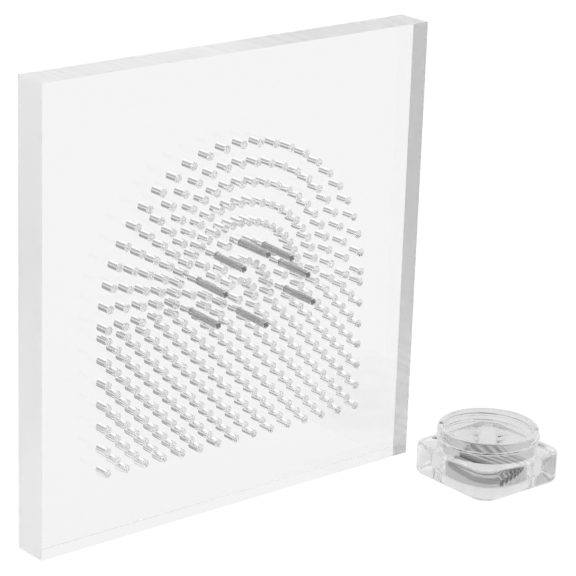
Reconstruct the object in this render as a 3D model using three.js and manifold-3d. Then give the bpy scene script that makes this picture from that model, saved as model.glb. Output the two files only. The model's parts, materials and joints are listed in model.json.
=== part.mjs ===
// A desk toy for making raised pin pictures: a clear cast-acrylic block, drilled all over with blind holes,
// eight steel pins standing in the holes, and an open screw-neck jar that holds the spare pins.
// Millimetres, +Z up. The origin is the middle of the block's bottom face. The drilled face looks along -Y.
import * as THREE from "three";
import { mergeVertices } from "three/addons/utils/BufferGeometryUtils.js";
import Module from "manifold-3d";

const wasm = await Module();
wasm.setup();

// ---- Driving dimensions ----

// The block is a six-inch square of half-inch sheet.
const BLOCK_SIDE = 152.4;
const BLOCK_THICKNESS = 12.7;
const FRONT_Y = -BLOCK_THICKNESS / 2;

// The hole field: a half-round fan of holes over a rectangle of staggered rows, both as wide as the fan.
const HOLE_RADIUS = 1.42;
const HOLE_DEPTH = 8;
const HOLE_SIDES = 8;
const HOLE_PITCH = 7.34;
const ROW_HOLES = 15;
const ROW_COUNT = 13; // full rows and the rows that fill their gaps, counted together
const BOTTOM_ROW_Z = 23.1;
const ROW_RISE = HOLE_PITCH / 2;
const FAN_RADIUS = (HOLE_PITCH * (ROW_HOLES - 1)) / 2;
const FAN_CENTRE_Z = BOTTOM_ROW_Z + ROW_COUNT * ROW_RISE;

// The fan's rings from the middle outwards. Holes sit closer in angle on the wide rings.
const RING_STEPS = [6, 12, 12, 24, 24, 24, 24, 24];
const RING_SPACING = FAN_RADIUS / RING_STEPS.length;
const PINNED_RING = 3;

// A pin is a ground steel rod with a small chamfer at each end.
const PIN_RADIUS = 1.19;
const PIN_LENGTH = 21.5;
const PIN_CHAMFER = 0.25;
const PIN_SIDES = 12;
const PIN_END_GAP = 0.2;

// The holes are wider than the pins, so each pin leans down a little out of its hole, in degrees.
const PIN_DROOP = [2.6, 2.6, 2.6, 1.3, 2.3, 1.8, 1.6, 2.6];

// The jar: a square foot with rounded corners, a round threaded neck, and a round hollow.
const JAR_X = 85;
const JAR_Y = -37;
const JAR_FOOT_SIDE = 37;
const JAR_FOOT_CORNER = 6;
const JAR_FOOT_HEIGHT = 11;
const JAR_FOOT_BEVEL = 1.2;
const JAR_HEIGHT = 18;
const JAR_NECK_RADIUS = 17;
const JAR_HOLLOW_RADIUS = 15.3;
const JAR_FLOOR = 2.5;
const JAR_SIDES = 40;
const THREAD_RADIUS = 0.55;
const THREAD_TURNS = 1.5;
const THREAD_PITCH = 2.4;
const THREAD_START_Z = 13;
const THREAD_STEPS_PER_TURN = 32;

// The spare pins lie side by side on the jar's floor, fanned a little, with more in the grooves between them.
const SPARES_TURN = 6.5; // degrees about +Z, of the whole handful
const LOWER_PINS = 8;
const LOWER_SPACING = 2.56;
const TURN_PER_PIN = 0.6;
const FIRST_UPPER_GROOVE = 2; // the groove between the third lower pin and the fourth
const STACK_GAP = 0.12;
const LOWER_GAP = 0.06;
const UPPER_SLIP = 1.2; // how far the upper pins have slid towards -Y

// ---- Materials ----

const clearAcrylic = new THREE.MeshStandardMaterial({
  color: 0xf1f3f4,
  roughness: 0.06,
  metalness: 0,
  transparent: true,
  opacity: 0.35,
});
const clearJarPlastic = new THREE.MeshStandardMaterial({
  color: 0xeef0f1,
  roughness: 0.08,
  metalness: 0,
  transparent: true,
  opacity: 0.35,
});
const groundSteel = new THREE.MeshStandardMaterial({
  color: 0xa8a9aa,
  roughness: 0.3,
  metalness: 1,
});

// ---- Solids and meshes ----

// A three.js geometry as a manifold-3d solid.
function solidFrom(geometry) {
  const bare = geometry.index ? geometry.toNonIndexed() : geometry.clone();
  bare.deleteAttribute("normal");
  bare.deleteAttribute("uv");
  const merged = mergeVertices(bare, 1e-4);
  const mesh = new wasm.Mesh({
    numProp: 3,
    vertProperties: merged.attributes.position.array,
    triVerts: new Uint32Array(merged.index.array),
  });
  return new wasm.Manifold(mesh);
}

// A manifold-3d solid back as a three.js geometry.
function geometryFrom(solid) {
  const mesh = solid.getMesh();
  const geometry = new THREE.BufferGeometry();
  geometry.setAttribute("position", new THREE.BufferAttribute(mesh.vertProperties, 3));
  geometry.setIndex(new THREE.BufferAttribute(mesh.triVerts, 1));
  geometry.computeVertexNormals();
  return geometry;
}

function namedMesh(name, geometry, material) {
  const mesh = new THREE.Mesh(geometry, material);
  mesh.name = name;
  return mesh;
}

// ---- The hole field ----

// The place on the drilled face, { x, z }, of the hole in a ring at an angle in degrees, with 0 towards +X.
function fanHole(ring, degrees) {
  const angle = THREE.MathUtils.degToRad(degrees);
  const radius = ring * RING_SPACING;
  return { x: radius * Math.cos(angle), z: FAN_CENTRE_Z + radius * Math.sin(angle) };
}

function fanHoles() {
  const holes = [{ x: 0, z: FAN_CENTRE_Z }];
  RING_STEPS.forEach((steps, index) => {
    for (let step = 0; step <= steps; step++) {
      holes.push(fanHole(index + 1, (180 * step) / steps));
    }
  });
  return holes;
}

// The rows under the fan. Every second row has one hole fewer and is shifted half a pitch.
function rowHoles() {
  const holes = [];
  for (let row = 0; row < ROW_COUNT; row++) {
    const count = ROW_HOLES - (row % 2);
    for (let i = 0; i < count; i++) {
      holes.push({ x: (i - (count - 1) / 2) * HOLE_PITCH, z: BOTTOM_ROW_Z + row * ROW_RISE });
    }
  }
  return holes;
}

// ---- The block ----

// One drill, with the area of the round hole, flats up and down, running out past the drilled face.
function drillAt({ x, z }) {
  const overrun = 1;
  const sector = (2 * Math.PI) / HOLE_SIDES;
  const cornerRadius = HOLE_RADIUS * Math.sqrt(sector / Math.sin(sector));
  const drill = new THREE.CylinderGeometry(cornerRadius, cornerRadius, HOLE_DEPTH + overrun, HOLE_SIDES);
  drill.rotateY(sector / 2);
  drill.translate(x, FRONT_Y + (HOLE_DEPTH - overrun) / 2, z);
  return solidFrom(drill);
}

function acrylicBlock() {
  const slab = new THREE.BoxGeometry(BLOCK_SIDE, BLOCK_THICKNESS, BLOCK_SIDE);
  slab.translate(0, 0, BLOCK_SIDE / 2);
  const drills = [...fanHoles(), ...rowHoles()].map(drillAt);
  const drilled = wasm.Manifold.difference([solidFrom(slab), ...drills]);
  return namedMesh("acrylic_block", geometryFrom(drilled), clearAcrylic);
}

// ---- Pins ----

// A pin along +Y, with its inner end at the origin.
function pinGeometry() {
  const profile = [
    [0, 0],
    [PIN_RADIUS - PIN_CHAMFER, 0],
    [PIN_RADIUS, PIN_CHAMFER],
    [PIN_RADIUS, PIN_LENGTH - PIN_CHAMFER],
    [PIN_RADIUS - PIN_CHAMFER, PIN_LENGTH],
    [0, PIN_LENGTH],
  ].map(([radius, along]) => new THREE.Vector2(radius, along));
  return new THREE.LatheGeometry(profile, PIN_SIDES);
}

// The holes that hold a pin: every 30 degrees round one ring from -X over to +X, then one under the middle.
function pinnedHoles() {
  const holes = [];
  for (let degrees = 180; degrees >= 0; degrees -= 30) {
    holes.push(fanHole(PINNED_RING, degrees));
  }
  holes.push({ x: 0, z: FAN_CENTRE_Z - ROW_RISE });
  return holes;
}

// A standing pin crosses its hole's axis half way down the hole, and leans down towards its outer end.
function displayPins() {
  return pinnedHoles().map(({ x, z }, index) => {
    const pin = namedMesh(`display_pin_${index + 1}`, pinGeometry(), groundSteel);
    pin.geometry.translate(0, -(HOLE_DEPTH / 2 - PIN_END_GAP), 0);
    pin.rotation.x = Math.PI + THREE.MathUtils.degToRad(PIN_DROOP[index]);
    pin.position.set(x, FRONT_Y + HOLE_DEPTH / 2, z);
    return pin;
  });
}

// ---- The jar ----

function roundedSquare(side, corner) {
  const half = side / 2;
  const shape = new THREE.Shape();
  shape.moveTo(half, -half + corner);
  shape.absarc(half - corner, half - corner, corner, 0, Math.PI / 2);
  shape.absarc(-half + corner, half - corner, corner, Math.PI / 2, Math.PI);
  shape.absarc(-half + corner, -half + corner, corner, Math.PI, 1.5 * Math.PI);
  shape.absarc(half - corner, -half + corner, corner, 1.5 * Math.PI, 2 * Math.PI);
  return shape;
}

function jarFoot() {
  const outline = roundedSquare(JAR_FOOT_SIDE - 2 * JAR_FOOT_BEVEL, JAR_FOOT_CORNER - JAR_FOOT_BEVEL);
  const foot = new THREE.ExtrudeGeometry(outline, {
    depth: JAR_FOOT_HEIGHT - 2 * JAR_FOOT_BEVEL,
    bevelThickness: JAR_FOOT_BEVEL,
    bevelSize: JAR_FOOT_BEVEL,
    bevelSegments: 2,
    curveSegments: 5,
  });
  foot.translate(0, 0, JAR_FOOT_BEVEL);
  return solidFrom(foot);
}

function uprightCylinder(radius, bottom, top) {
  const cylinder = new THREE.CylinderGeometry(radius, radius, top - bottom, JAR_SIDES);
  cylinder.rotateX(Math.PI / 2);
  cylinder.translate(0, 0, (top + bottom) / 2);
  return solidFrom(cylinder);
}

class ThreadLine extends THREE.Curve {
  getPoint(t) {
    const turn = 2 * Math.PI * THREAD_TURNS * t;
    const z = THREAD_START_Z + THREAD_PITCH * THREAD_TURNS * t;
    return new THREE.Vector3(JAR_NECK_RADIUS * Math.cos(turn), JAR_NECK_RADIUS * Math.sin(turn), z);
  }
}

// The screw thread is a round bead, sunk to its middle in the neck.
function jarThread() {
  const section = new THREE.Shape();
  section.absarc(0, 0, THREAD_RADIUS, 0, 2 * Math.PI);
  const bead = new THREE.ExtrudeGeometry(section, {
    extrudePath: new ThreadLine(),
    steps: THREAD_TURNS * THREAD_STEPS_PER_TURN,
    curveSegments: 3,
  });
  return solidFrom(bead);
}

function jar() {
  const neck = uprightCylinder(JAR_NECK_RADIUS, JAR_FLOOR, JAR_HEIGHT);
  const hollow = uprightCylinder(JAR_HOLLOW_RADIUS, JAR_FLOOR, JAR_HEIGHT + 1);
  const solid = jarFoot().add(neck).add(jarThread()).subtract(hollow);
  return namedMesh("pin_jar", geometryFrom(solid), clearJarPlastic);
}

// ---- Spare pins, placed in a frame in the middle of the jar, turned with the handful ----

// A lying pin along the Y axis, turned about +Z by an angle in degrees, with its middle at (x, y, z).
function lyingPin(name, x, y, z, degrees) {
  const pin = namedMesh(name, pinGeometry(), groundSteel);
  pin.geometry.translate(0, -PIN_LENGTH / 2, 0);
  pin.rotation.z = THREE.MathUtils.degToRad(degrees);
  pin.position.set(x, y, z);
  return pin;
}

const LOWER_PIN_Z = JAR_FLOOR + PIN_RADIUS + LOWER_GAP;
const lowerPinX = (i) => (i - (LOWER_PINS - 1) / 2) * LOWER_SPACING;
const lowerPinTurn = (i) => ((LOWER_PINS - 1) / 2 - i) * TURN_PER_PIN;

function lowerPins() {
  const pins = [];
  for (let i = 0; i < LOWER_PINS; i++) {
    pins.push(lyingPin(`spare_pin_lower_${i + 1}`, lowerPinX(i), 0, LOWER_PIN_Z, lowerPinTurn(i)));
  }
  return pins;
}

// Each upper pin lies in the groove between two lower pins, at the angle half way between theirs.
function upperPins() {
  const across = LOWER_SPACING / 2;
  const reach = 2 * PIN_RADIUS + STACK_GAP;
  const rise = Math.sqrt(reach ** 2 - across ** 2);
  const pins = [];
  for (let i = FIRST_UPPER_GROOVE; i < LOWER_PINS - 1; i++) {
    const x = (lowerPinX(i) + lowerPinX(i + 1)) / 2;
    const degrees = (lowerPinTurn(i) + lowerPinTurn(i + 1)) / 2;
    const name = `spare_pin_upper_${i + 1 - FIRST_UPPER_GROOVE}`;
    pins.push(lyingPin(name, x, -UPPER_SLIP, LOWER_PIN_Z + rise, degrees));
  }
  return pins;
}

const sparePins = new THREE.Group();
sparePins.rotation.z = THREE.MathUtils.degToRad(SPARES_TURN);
sparePins.add(...lowerPins(), ...upperPins());

const jarAndSparePins = new THREE.Group();
jarAndSparePins.position.set(JAR_X, JAR_Y, 0);
jarAndSparePins.add(jar(), sparePins);

const pinArtToy = new THREE.Group();
pinArtToy.add(acrylicBlock(), ...displayPins(), jarAndSparePins);

export default pinArtToy;
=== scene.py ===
"""A pin art toy: a clear drilled block with steel pins in it, beside an open jar of spare pins."""
import json
from math import cos, pi, radians, sin

import bpy
import numpy
from mathutils import Matrix, Vector


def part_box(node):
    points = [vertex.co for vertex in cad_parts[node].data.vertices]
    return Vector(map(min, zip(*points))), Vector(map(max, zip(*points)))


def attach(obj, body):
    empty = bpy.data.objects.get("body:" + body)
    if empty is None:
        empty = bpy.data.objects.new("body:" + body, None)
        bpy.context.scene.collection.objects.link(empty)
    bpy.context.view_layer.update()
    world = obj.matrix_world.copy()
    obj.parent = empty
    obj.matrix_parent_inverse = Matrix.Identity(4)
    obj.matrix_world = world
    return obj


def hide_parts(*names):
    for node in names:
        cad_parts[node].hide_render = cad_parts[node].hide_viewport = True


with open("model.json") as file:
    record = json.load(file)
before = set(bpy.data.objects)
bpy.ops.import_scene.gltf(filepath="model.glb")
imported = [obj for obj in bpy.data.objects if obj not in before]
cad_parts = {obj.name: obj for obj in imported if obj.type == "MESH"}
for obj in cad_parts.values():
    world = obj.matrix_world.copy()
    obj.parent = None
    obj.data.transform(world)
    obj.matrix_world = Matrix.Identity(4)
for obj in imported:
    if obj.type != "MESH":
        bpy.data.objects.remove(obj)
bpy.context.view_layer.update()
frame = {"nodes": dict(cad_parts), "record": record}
scene = bpy.context.scene
MM = 0.001

# ------------------------------------------------------------------------------------------------
# The camera looks a little down on the drilled face from its left, through a long lens, and is
# held slightly out of level.
CAMERA_TARGET = Vector((25.4, 0, 68.2)) * MM
CAMERA_DISTANCE = 0.8237
CAMERA_AZIMUTH = radians(-40.27)
CAMERA_ELEVATION = radians(18.79)
CAMERA_ROLL = radians(1.97)
LENS = 157.1
SENSOR_WIDTH = 36
NEAREST_SEEN = 10 * MM

towards_camera = Vector((
    sin(CAMERA_AZIMUTH) * cos(CAMERA_ELEVATION),
    -cos(CAMERA_AZIMUTH) * cos(CAMERA_ELEVATION),
    sin(CAMERA_ELEVATION),
))
bpy.ops.object.camera_add(location=CAMERA_TARGET + towards_camera * CAMERA_DISTANCE)
camera = bpy.context.object
level = towards_camera.to_track_quat("Z", "Y")
camera.rotation_mode = "QUATERNION"
camera.rotation_quaternion = level @ Matrix.Rotation(CAMERA_ROLL, 3, "Z").to_quaternion()
camera.data.lens = LENS
camera.data.sensor_width = SENSOR_WIDTH
camera.data.clip_start = NEAREST_SEEN
scene.camera = camera

# ------------------------------------------------------------------------------------------------
# The room: a white lit table under a white tent, with one broad soft light overhead and a little to
# the right. The tent has a grey patch behind on the left, and a dark opening for the camera. The table
# glows a little less where it is mirrored, and behind on the left it carries a painted shadow of the
# block that is seen only in mirrors; that draws the holes and pins.
WHITE = (1, 1, 1, 1)
FLOOR_SIZE = 8
FLOOR_DROP = 0.02 * MM
FLOOR_GLOW = 0.97
FLOOR_GLOW_MIRRORED = 0.92
# Painted shadow of the block on the table: a wedge behind on the left, where the glow drops to this
# level in mirrors only.
FLOOR_GLOW_PAINTED_SHADOW = 0.3
FLOOR_COLOUR = (0.08, 0.08, 0.08, 1)
FLOOR_PAINTED_SHADOW_WAY = Vector((-0.6, 0.8, 0))
FLOOR_PAINTED_SHADOW_START = 0.93
FLOOR_PAINTED_SHADOW_FULL = 0.99
LIGHT_CENTRE = Vector((0.24, 0, 0.97))
LIGHT_START = 0.54
LIGHT_FULL = 0.64
LIGHT_BRIGHTNESS = 1.2
TENT_BRIGHTNESS = 1.04
GREY_CENTRE = Vector((-0.46, 0.72, 0.51))
GREY_START = 0.9
GREY_FULL = 0.97
GREY_BRIGHTNESS = 0.55
OPENING_CENTRE = Vector((-0.61, -0.72, 0.32))
OPENING_START = 0.88
OPENING_FULL = 0.94
OPENING_BRIGHTNESS = 0.12
CLEAR_BOUNCES = 64
DIFFUSE_BOUNCES = 16

scene.view_settings.view_transform = "Standard"
scene.cycles.max_bounces = CLEAR_BOUNCES
scene.cycles.diffuse_bounces = DIFFUSE_BOUNCES
scene.cycles.transmission_bounces = CLEAR_BOUNCES
scene.cycles.glossy_bounces = CLEAR_BOUNCES


def between(tree, value, low, high, new_low, new_high):
    """Maps a value from one range to another and keeps it inside. The new ends may be sockets."""
    node = tree.nodes.new("ShaderNodeMapRange")
    node.inputs["From Min"].default_value = low
    node.inputs["From Max"].default_value = high
    for name, end in (("To Min", new_low), ("To Max", new_high)):
        if isinstance(end, bpy.types.NodeSocket):
            tree.links.new(end, node.inputs[name])
        else:
            node.inputs[name].default_value = end
    tree.links.new(value, node.inputs["Value"])
    return node.outputs["Result"]


def towards(tree, vector, way):
    """How nearly a vector's direction is a given one: 1 for the same, 0 for square to it."""
    unit = tree.nodes.new("ShaderNodeVectorMath")
    unit.operation = "NORMALIZE"
    tree.links.new(vector, unit.inputs[0])
    product = tree.nodes.new("ShaderNodeVectorMath")
    product.operation = "DOT_PRODUCT"
    product.inputs[1].default_value = way
    tree.links.new(unit.outputs["Vector"], product.inputs[0])
    return product.outputs["Value"]


bpy.ops.mesh.primitive_plane_add(size=FLOOR_SIZE, location=(0, 0, -FLOOR_DROP))
floor = bpy.context.object
floor.name = "floor"

floor_material = bpy.data.materials.new("white_table_with_painted_shadow")
floor_material.use_nodes = True
tree = floor_material.node_tree
shader = tree.nodes["Principled BSDF"]
shader.inputs["Base Color"].default_value = FLOOR_COLOUR
shader.inputs["Roughness"].default_value = 1
shader.inputs["Specular IOR Level"].default_value = 0
shader.inputs["Emission Color"].default_value = WHITE
floor_place = tree.nodes.new("ShaderNodeTexCoord").outputs["Object"]
# Painted shadow: in mirrors, the table glows far less in a wedge behind on the left of the block, in
# place of the block's shade on the table.
in_painted_shadow = towards(tree, floor_place, FLOOR_PAINTED_SHADOW_WAY)
mirrored_glow_painted_shadow = between(
    tree, in_painted_shadow, FLOOR_PAINTED_SHADOW_START, FLOOR_PAINTED_SHADOW_FULL, FLOOR_GLOW_MIRRORED, FLOOR_GLOW_PAINTED_SHADOW
)
mirrorings = tree.nodes.new("ShaderNodeLightPath").outputs["Glossy Depth"]
glow_with_painted_shadow = between(tree, mirrorings, 0, 1, FLOOR_GLOW, mirrored_glow_painted_shadow)
tree.links.new(glow_with_painted_shadow, shader.inputs["Emission Strength"])
floor.data.materials.append(floor_material)

world = bpy.data.worlds.new("soft_light_tent")
scene.world = world
world.use_nodes = True
tree = world.node_tree
background = tree.nodes["Background"]
background.inputs["Color"].default_value = WHITE
direction = tree.nodes.new("ShaderNodeTexCoord").outputs["Generated"]
in_grey = towards(tree, direction, GREY_CENTRE)
tent = between(tree, in_grey, GREY_START, GREY_FULL, TENT_BRIGHTNESS, GREY_BRIGHTNESS)
in_light = towards(tree, direction, LIGHT_CENTRE)
lit = between(tree, in_light, LIGHT_START, LIGHT_FULL, tent, LIGHT_BRIGHTNESS)
in_opening = towards(tree, direction, OPENING_CENTRE)
brightness = between(tree, in_opening, OPENING_START, OPENING_FULL, lit, OPENING_BRIGHTNESS)
tree.links.new(brightness, background.inputs["Strength"])

# ------------------------------------------------------------------------------------------------
# The block is a square of thick clear cast acrylic. Its faces are as cast, its edges are sawn, except
# the polished one that it stands on, and its holes are drilled blind and round, in a fan over rows.
HOLE_RADIUS = 1.42 * MM
HOLE_DEPTH = 8 * MM
HOLE_PITCH = 7.34 * MM
HOLE_SIDES = 24
OVERRUN = 1 * MM
ROW_HOLES = 15
ROW_COUNT = 13
ROW_RISE = HOLE_PITCH / 2
BOTTOM_ROW_Z = 23.1 * MM
FAN_RADIUS = HOLE_PITCH * (ROW_HOLES - 1) / 2
FAN_CENTRE_Z = BOTTOM_ROW_Z + ROW_COUNT * ROW_RISE
RING_STEPS = (6, 12, 12, 24, 24, 24, 24, 24)
RING_SPACING = FAN_RADIUS / len(RING_STEPS)
HALF_TURN = 180
ARRIS = 0.12 * MM
ARRIS_SEGMENTS = 2
SMOOTH_ANGLE = radians(25)
ACRYLIC_IOR = 1.49
FACE_TINT = (0.86, 0.86, 0.86, 1)
FACE_ROUGHNESS = (0, 0.03)
FACE_WAVE = 0.02 * MM
SAWN_CLEARNESS = 0.75
SAWN_ROUGHNESS = (0.3, 0.5)
SAWN_LINES = (2500, 150, 1)
SAWN_DEPTH = 0.02 * MM
DRILLED_LINES = (300, 4000, 300)
DRILLED_FROSTED = (0.25, 0.35)
DRILLED_GRAZING = (0.01, 0.06)
FLAT_AREA = (10 * MM) ** 2

block_low, block_high = (Vector(corner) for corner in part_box("acrylic_block"))
block_size = block_high - block_low
front_y = block_low.y


def fan_hole(ring, degrees):
    """The place on the drilled face of the hole in a ring at an angle, with 0 towards +X."""
    radius = ring * RING_SPACING
    angle = radians(degrees)
    return Vector((radius * cos(angle), front_y, FAN_CENTRE_Z + radius * sin(angle)))


hole_places = [fan_hole(0, 0)]
for ring, steps in enumerate(RING_STEPS, start=1):
    hole_places += [fan_hole(ring, HALF_TURN * step / steps) for step in range(steps + 1)]
for row in range(ROW_COUNT):
    count = ROW_HOLES - row % 2
    for i in range(count):
        x = (i - (count - 1) / 2) * HOLE_PITCH
        hole_places.append(Vector((x, front_y, BOTTOM_ROW_Z + row * ROW_RISE)))


def pick(*items):
    """Selects only these objects and makes the last one active."""
    bpy.ops.object.select_all(action="DESELECT")
    for item in items:
        item.select_set(True)
        bpy.context.view_layer.objects.active = item


def settle(item, name):
    """Puts the object's place into its mesh, and names both."""
    pick(item)
    bpy.ops.object.transform_apply(location=True, rotation=True, scale=True)
    item.name = name
    item.data.name = name


def boolean(target, operation, tool):
    """Joins a tool shape to the target or cuts it away, and throws the tool away."""
    pick(target)
    modifier = target.modifiers.new(operation, "BOOLEAN")
    modifier.operation = operation
    modifier.solver = "EXACT"
    modifier.object = tool
    bpy.ops.object.modifier_apply(modifier=modifier.name)
    bpy.data.objects.remove(tool)


def bevel_edges(item, chosen, offset, segments):
    """Bevels the edges whose two ends the test chosen(start, end) accepts."""
    pick(item)
    bpy.ops.object.mode_set(mode="EDIT")
    bpy.ops.mesh.select_mode(type="EDGE")
    bpy.ops.mesh.select_all(action="DESELECT")
    bpy.ops.object.mode_set(mode="OBJECT")
    points = item.data.vertices
    for edge in item.data.edges:
        edge.select = chosen(*(points[index].co for index in edge.vertices))
    bpy.ops.object.mode_set(mode="EDIT")
    bpy.ops.mesh.bevel(offset=offset, segments=segments, affect="EDGES")
    bpy.ops.object.mode_set(mode="OBJECT")


bpy.ops.object.select_all(action="DESELECT")
bpy.ops.mesh.primitive_cube_add(size=1, location=(block_low + block_high) / 2, scale=block_size)
block = bpy.context.object
settle(block, "drilled_block")
bevel_edges(block, lambda start, end: True, ARRIS, ARRIS_SEGMENTS)

bpy.ops.mesh.primitive_cylinder_add(
    vertices=HOLE_SIDES, radius=HOLE_RADIUS, depth=HOLE_DEPTH + OVERRUN, rotation=(pi / 2, 0, 0)
)
drill = bpy.context.object
settle(drill, "drill")
drills = []
for place in hole_places:
    copy = drill.copy()
    copy.data = drill.data.copy()
    copy.location = place + Vector((0, (HOLE_DEPTH - OVERRUN) / 2, 0))
    scene.collection.objects.link(copy)
    drills.append(copy)
bpy.data.objects.remove(drill)
pick(*drills)
bpy.ops.object.join()
drill_bank = bpy.context.object
settle(drill_bank, "drill_bank")
boolean(block, "DIFFERENCE", drill_bank)
pick(block)
bpy.ops.object.shade_smooth_by_angle(angle=SMOOTH_ANGLE)
for face in block.data.polygons:
    if face.area > FLAT_AREA:
        face.use_smooth = False


def new_group(name, inputs, outputs):
    """A shader node group with value inputs, given as name: default, and value outputs."""
    group = bpy.data.node_groups.new(name, "ShaderNodeTree")
    for label, default in inputs.items():
        kind = "NodeSocketVector" if default is None else "NodeSocketFloat"
        socket = group.interface.new_socket(label, in_out="INPUT", socket_type=kind)
        if default is not None:
            socket.default_value = default
    for label in outputs:
        group.interface.new_socket(label, in_out="OUTPUT", socket_type="NodeSocketFloat")
    return group, group.nodes.new("NodeGroupInput"), group.nodes.new("NodeGroupOutput")


LINE_SCALE = 1
LINE_DETAIL = 3
LINE_SPREAD = (0.3, 0.7)
PATCH_SCALE = 0.13
PATCH_DETAIL = 2
PATCH_SPREAD = (0.35, 0.65)
HAZE_SCALE = 60
HAZE_DETAIL = 4
HAZE_SPREAD = (0.5, 0.75)
WAVE_SCALE = 18
WAVE_DETAIL = 1


def noise(tree, vector, scale, detail):
    """A noise texture's value at a vector."""
    node = tree.nodes.new("ShaderNodeTexNoise")
    node.inputs["Scale"].default_value = scale
    node.inputs["Detail"].default_value = detail
    tree.links.new(vector, node.inputs["Vector"])
    return node.outputs["Fac"]


def arithmetic(tree, operation, first, second):
    """The sum, product or other combination of two values, each a socket or a number."""
    node = tree.nodes.new("ShaderNodeMath")
    node.operation = operation
    for value, socket in zip((first, second), node.inputs):
        if isinstance(value, bpy.types.NodeSocket):
            tree.links.new(value, socket)
        else:
            socket.default_value = value
    return node.outputs["Value"]


# Marks that a saw, drill or grinding wheel leaves: fine lines, deeper in some patches than in others.
tool_marks, marks_in, marks_out = new_group("tool_marks", {"Vector": None}, ("Lines", "Patches"))
fine_lines = noise(tool_marks, marks_in.outputs["Vector"], LINE_SCALE, LINE_DETAIL)
patches = noise(tool_marks, marks_in.outputs["Vector"], PATCH_SCALE, PATCH_DETAIL)
tool_marks.links.new(between(tool_marks, fine_lines, *LINE_SPREAD, 0, 1), marks_out.inputs["Lines"])
tool_marks.links.new(between(tool_marks, patches, *PATCH_SPREAD, 0, 1), marks_out.inputs["Patches"])

# The faint haze and waviness of handled plastic.
handled, handled_in, handled_out = new_group("handled_plastic", {"Vector": None}, ("Haze", "Wave"))
haze = noise(handled, handled_in.outputs["Vector"], HAZE_SCALE, HAZE_DETAIL)
wave = noise(handled, handled_in.outputs["Vector"], WAVE_SCALE, WAVE_DETAIL)
handled.links.new(between(handled, haze, *HAZE_SPREAD, 0, 1), handled_out.inputs["Haze"])
handled.links.new(wave, handled_out.inputs["Wave"])


def use_group(tree, group, vector):
    """Places a node group in a material, fed with a vector."""
    node = tree.nodes.new("ShaderNodeGroup")
    node.node_tree = group
    tree.links.new(vector, node.inputs["Vector"])
    return node


def object_point(tree):
    """The place on the piece, in metres."""
    return tree.nodes.new("ShaderNodeTexCoord").outputs["Object"]


def bump(tree, shader, height, distance):
    """Feeds the shader's normal with a bump of a height from 0 to 1 over a distance in metres."""
    node = tree.nodes.new("ShaderNodeBump")
    node.inputs["Distance"].default_value = distance
    tree.links.new(height, node.inputs["Height"])
    tree.links.new(node.outputs["Normal"], shader.inputs["Normal"])


def roughen(tree, shader, value, roughness):
    """Feeds the shader's roughness: its low end where a value is 0, its high end where it is 1."""
    tree.links.new(between(tree, value, 0, 1, *roughness), shader.inputs["Roughness"])


def clear_plastic(name, tint, ior):
    """A clear plastic of one tint, and its node tree and shader."""
    material = bpy.data.materials.new(name)
    material.use_nodes = True
    tree = material.node_tree
    shader = tree.nodes["Principled BSDF"]
    shader.inputs["Base Color"].default_value = tint
    shader.inputs["IOR"].default_value = ior
    shader.inputs["Transmission Weight"].default_value = 1
    return material, tree, shader


def stretched(tree, vector, scale):
    """The vector, scaled by a different amount along each axis."""
    node = tree.nodes.new("ShaderNodeMapping")
    node.inputs["Scale"].default_value = scale
    tree.links.new(vector, node.inputs["Vector"])
    return node.outputs["Vector"]


cast_face, tree, shader = clear_plastic("cast_acrylic_face", FACE_TINT, ACRYLIC_IOR)
face_wear = use_group(tree, handled, object_point(tree))
roughen(tree, shader, face_wear.outputs["Haze"], FACE_ROUGHNESS)
bump(tree, shader, face_wear.outputs["Wave"], FACE_WAVE)

# The saw leaves lines straight across the thickness, so they vary along x on the level edges and
# along z on the upright ones: the sum of the two serves for both.
sawn_edge, tree, shader = clear_plastic("sawn_acrylic_edge", WHITE, ACRYLIC_IOR)
shader.inputs["Transmission Weight"].default_value = SAWN_CLEARNESS
parts = tree.nodes.new("ShaderNodeSeparateXYZ")
tree.links.new(object_point(tree), parts.inputs[0])
along = arithmetic(tree, "ADD", parts.outputs["X"], parts.outputs["Z"])
laid_out = tree.nodes.new("ShaderNodeCombineXYZ")
tree.links.new(along, laid_out.inputs["X"])
tree.links.new(parts.outputs["Y"], laid_out.inputs["Y"])
saw_marks = use_group(tree, tool_marks, stretched(tree, laid_out.outputs[0], SAWN_LINES))
roughen(tree, shader, saw_marks.outputs["Patches"], SAWN_ROUGHNESS)
bump(tree, shader, saw_marks.outputs["Lines"], SAWN_DEPTH)

# A drilled wall is frosted when looked at from inside the hole. Light that grazes it from inside the
# plastic is mirrored almost as by a polished wall.
drilled_wall, tree, shader = clear_plastic("drilled_acrylic_wall", WHITE, ACRYLIC_IOR)
drill_marks = use_group(tree, tool_marks, stretched(tree, object_point(tree), DRILLED_LINES))
grazing = between(tree, drill_marks.outputs["Patches"], 0, 1, *DRILLED_GRAZING)
frosted = between(tree, drill_marks.outputs["Lines"], 0, 1, *DRILLED_FROSTED)
from_inside = tree.nodes.new("ShaderNodeNewGeometry").outputs["Backfacing"]
roughness = tree.nodes.new("ShaderNodeMix")
tree.links.new(from_inside, roughness.inputs["Factor"])
tree.links.new(frosted, roughness.inputs["A"])
tree.links.new(grazing, roughness.inputs["B"])
tree.links.new(roughness.outputs["Result"], shader.inputs["Roughness"])

for material in (cast_face, sawn_edge, drilled_wall):
    block.data.materials.append(material)
CAST, SAWN, DRILLED = range(3)
SKIN = 0.01 * MM
SLANT = 0.5
inner_low = block_low + Vector((HOLE_PITCH, SKIN, HOLE_PITCH))
inner_high = block_high - Vector((HOLE_PITCH, SKIN, HOLE_PITCH))
for face in block.data.polygons:
    if all(low < at < high for low, at, high in zip(inner_low, face.center, inner_high)):
        face.material_index = DRILLED
    elif abs(face.normal.y) < SLANT and face.normal.z > -SLANT:
        face.material_index = SAWN
    else:
        face.material_index = CAST
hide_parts("acrylic_block")
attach(block, "block")

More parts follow.
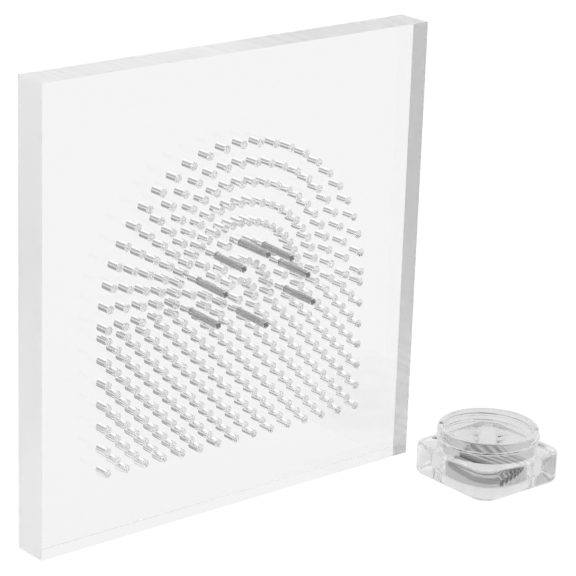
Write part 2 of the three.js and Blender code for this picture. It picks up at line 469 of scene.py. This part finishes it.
# ------------------------------------------------------------------------------------------------
# The pins are short lengths of ground steel rod, with a chamfer at each end and a shallow dish where
# it was parted off. Eight stand loose in the block and lean down a little. The rest lie in the jar.
PIN_RADIUS = 1.19 * MM
PIN_LENGTH = 21.5 * MM
PIN_CHAMFER = 0.2 * MM
CHAMFER_SEGMENTS = 1
PIN_SIDES = 40
DISH_RIM = 0.15 * MM
DISH_DEPTH = 0.12 * MM
SQUARE_TILT = 0.99
END_TILT = 0.8
STEEL_DARK = (0.52, 0.52, 0.525, 1)
STEEL_LIGHT = (0.62, 0.62, 0.625, 1)
STEEL_ROUGHNESS = (0.2, 0.28)
STEEL_LINES = (24, 0.4, 1)
STEEL_DEPTH = 0.002 * MM
PARTED_COLOUR = (0.2, 0.2, 0.205, 1)
PARTED_ROUGHNESS = (0.4, 0.6)
PARTED_LINES = (4000, 4000, 4000)

steel = bpy.data.materials.new("ground_steel")
steel.use_nodes = True
tree = steel.node_tree
shader = tree.nodes["Principled BSDF"]
shader.inputs["Metallic"].default_value = 1
unrolled = tree.nodes.new("ShaderNodeTexCoord").outputs["UV"]
grind = use_group(tree, tool_marks, stretched(tree, unrolled, STEEL_LINES))
tone = tree.nodes.new("ShaderNodeMix")
tone.data_type = "RGBA"
tone.inputs["A"].default_value = STEEL_DARK
tone.inputs["B"].default_value = STEEL_LIGHT
tree.links.new(grind.outputs["Lines"], tone.inputs["Factor"])
tree.links.new(tone.outputs["Result"], shader.inputs["Base Color"])
roughen(tree, shader, grind.outputs["Patches"], STEEL_ROUGHNESS)
bump(tree, shader, grind.outputs["Lines"], STEEL_DEPTH)

parted_end = bpy.data.materials.new("parted_steel_end")
parted_end.use_nodes = True
tree = parted_end.node_tree
shader = tree.nodes["Principled BSDF"]
shader.inputs["Metallic"].default_value = 1
shader.inputs["Base Color"].default_value = PARTED_COLOUR
end_marks = use_group(tree, tool_marks, stretched(tree, object_point(tree), PARTED_LINES))
roughen(tree, shader, end_marks.outputs["Lines"], PARTED_ROUGHNESS)

bpy.ops.object.select_all(action="DESELECT")
bpy.ops.mesh.primitive_cylinder_add(vertices=PIN_SIDES, radius=PIN_RADIUS, depth=PIN_LENGTH)
pin_pattern = bpy.context.object
settle(pin_pattern, "pin_pattern")
bevel_edges(
    pin_pattern, lambda start, end: abs(start.z - end.z) < PIN_CHAMFER, PIN_CHAMFER, CHAMFER_SEGMENTS
)
bpy.ops.object.mode_set(mode="EDIT")
bpy.ops.mesh.select_mode(type="FACE")
bpy.ops.mesh.select_all(action="DESELECT")
bpy.ops.object.mode_set(mode="OBJECT")
for face in pin_pattern.data.polygons:
    face.select = abs(face.normal.z) > SQUARE_TILT
bpy.ops.object.mode_set(mode="EDIT")
bpy.ops.mesh.inset(thickness=DISH_RIM, depth=0, use_individual=True)
bpy.ops.mesh.inset(thickness=DISH_DEPTH, depth=-DISH_DEPTH, use_individual=True)
bpy.ops.object.mode_set(mode="OBJECT")
bpy.ops.object.shade_smooth_by_angle(angle=SMOOTH_ANGLE)
pin_pattern.data.materials.append(steel)
pin_pattern.data.materials.append(parted_end)
GROUND, PARTED = range(2)
for face in pin_pattern.data.polygons:
    face.material_index = PARTED if abs(face.normal.z) > END_TILT else GROUND

for body, nodes in frame["record"]["behaviour"]["bodies"].items():
    for node in nodes:
        if not node.startswith(("display_pin", "spare_pin")):
            continue
        corners = numpy.array([point.co for point in frame["nodes"][node].data.vertices])
        middle = (corners.min(axis=0) + corners.max(axis=0)) / 2
        directions = numpy.linalg.svd(corners - corners.mean(axis=0), full_matrices=False)[2]
        long_axis = Vector(directions[0])
        if long_axis.y > 0:
            long_axis.negate()
        turn = long_axis.to_track_quat("Z", "X").to_matrix().to_4x4()
        pin = pin_pattern.copy()
        pin.data = pin_pattern.data.copy()
        pin.matrix_world = Matrix.Translation(middle) @ turn
        scene.collection.objects.link(pin)
        settle(pin, "ground_" + node)
        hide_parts(node)
        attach(pin, body)
bpy.data.objects.remove(pin_pattern)

# ------------------------------------------------------------------------------------------------
# The jar is moulded in one piece from clear polystyrene: a square foot with rounded corners, a round
# neck with a screw thread for a lid, and a round hollow with a thick floor. It stands on the table.
FOOT_HEIGHT = 11 * MM
FOOT_CORNER = 6 * MM
FOOT_CORNER_SEGMENTS = 12
FOOT_ROUNDING = 1.5 * MM
ROUNDING_SEGMENTS = 5
NECK_RADIUS = 17 * MM
HOLLOW_RADIUS = 15.3 * MM
HOLLOW_FILLET = 1 * MM
RIM_ROUNDING = 0.45 * MM
RIM_SEGMENTS = 4
JAR_FLOOR = 2.5 * MM
JAR_SIDES = 128
THREAD_RADIUS = 0.55 * MM
THREAD_TURNS = 1.5
THREAD_PITCH = 2.4 * MM
THREAD_START_Z = 13 * MM
THREAD_POINTS = 97
THREAD_ROUNDNESS = 3
THREAD_TIP = 0.15
THREAD_SWELL = 10
POLYSTYRENE_IOR = 1.57
JAR_TINT = (0.73, 0.73, 0.73, 1)
JAR_ROUGHNESS = (0, 0.04)
JAR_WAVE = 0.03 * MM

jar_low, jar_high = (Vector(corner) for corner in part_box("pin_jar"))
jar_centre = (jar_low + jar_high) / 2
jar_centre.z = 0
foot_side = jar_high.x - jar_low.x
jar_height = jar_high.z

bpy.ops.object.select_all(action="DESELECT")
bpy.ops.mesh.primitive_cube_add(
    size=1, location=(0, 0, FOOT_HEIGHT / 2), scale=(foot_side, foot_side, FOOT_HEIGHT)
)
jar = bpy.context.object
settle(jar, "screw_neck_jar")
bevel_edges(
    jar, lambda start, end: abs(start.z - end.z) > FOOT_ROUNDING, FOOT_CORNER, FOOT_CORNER_SEGMENTS
)
bevel_edges(
    jar, lambda start, end: abs(start.z - end.z) < FOOT_ROUNDING, FOOT_ROUNDING, ROUNDING_SEGMENTS
)


def upright_cylinder(radius, bottom, top, name):
    """A round bar that stands on the jar's axis, between two heights."""
    bpy.ops.object.select_all(action="DESELECT")
    bpy.ops.mesh.primitive_cylinder_add(
        vertices=JAR_SIDES, radius=radius, depth=top - bottom, location=(0, 0, (top + bottom) / 2)
    )
    item = bpy.context.object
    settle(item, name)
    return item


neck = upright_cylinder(NECK_RADIUS, JAR_FLOOR, jar_height, "neck")
bevel_edges(
    neck,
    lambda start, end: min(start.z, end.z) > jar_height - RIM_ROUNDING,
    RIM_ROUNDING,
    RIM_SEGMENTS,
)
boolean(jar, "UNION", neck)

thread_curve = bpy.data.curves.new("thread", "CURVE")
thread_curve.dimensions = "3D"
thread_curve.bevel_depth = THREAD_RADIUS
thread_curve.bevel_resolution = THREAD_ROUNDNESS
thread_curve.use_fill_caps = True
thread_line = thread_curve.splines.new("POLY")
thread_line.points.add(THREAD_POINTS - 1)
for index, point in enumerate(thread_line.points):
    t = index / (THREAD_POINTS - 1)
    angle = 2 * pi * THREAD_TURNS * t
    height = THREAD_START_Z + THREAD_PITCH * THREAD_TURNS * t
    point.co = (NECK_RADIUS * cos(angle), NECK_RADIUS * sin(angle), height, 1)
    point.radius = min(1, THREAD_TIP + THREAD_SWELL * min(t, 1 - t))
thread = bpy.data.objects.new("thread", thread_curve)
scene.collection.objects.link(thread)
pick(thread)
bpy.ops.object.convert(target="MESH")
boolean(jar, "UNION", thread)

hollow = upright_cylinder(HOLLOW_RADIUS, JAR_FLOOR, jar_height + OVERRUN, "hollow")
bevel_edges(
    hollow,
    lambda start, end: max(start.z, end.z) < JAR_FLOOR + HOLLOW_FILLET,
    HOLLOW_FILLET,
    ROUNDING_SEGMENTS,
)
boolean(jar, "DIFFERENCE", hollow)
jar.location = jar_centre
settle(jar, "screw_neck_jar")
pick(jar)
bpy.ops.object.shade_smooth_by_angle(angle=SMOOTH_ANGLE)

moulded, tree, shader = clear_plastic("moulded_clear_plastic", JAR_TINT, POLYSTYRENE_IOR)
jar_wear = use_group(tree, handled, object_point(tree))
roughen(tree, shader, jar_wear.outputs["Haze"], JAR_ROUGHNESS)
bump(tree, shader, jar_wear.outputs["Wave"], JAR_WAVE)
jar.data.materials.append(moulded)
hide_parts("pin_jar")
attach(jar, "jar")
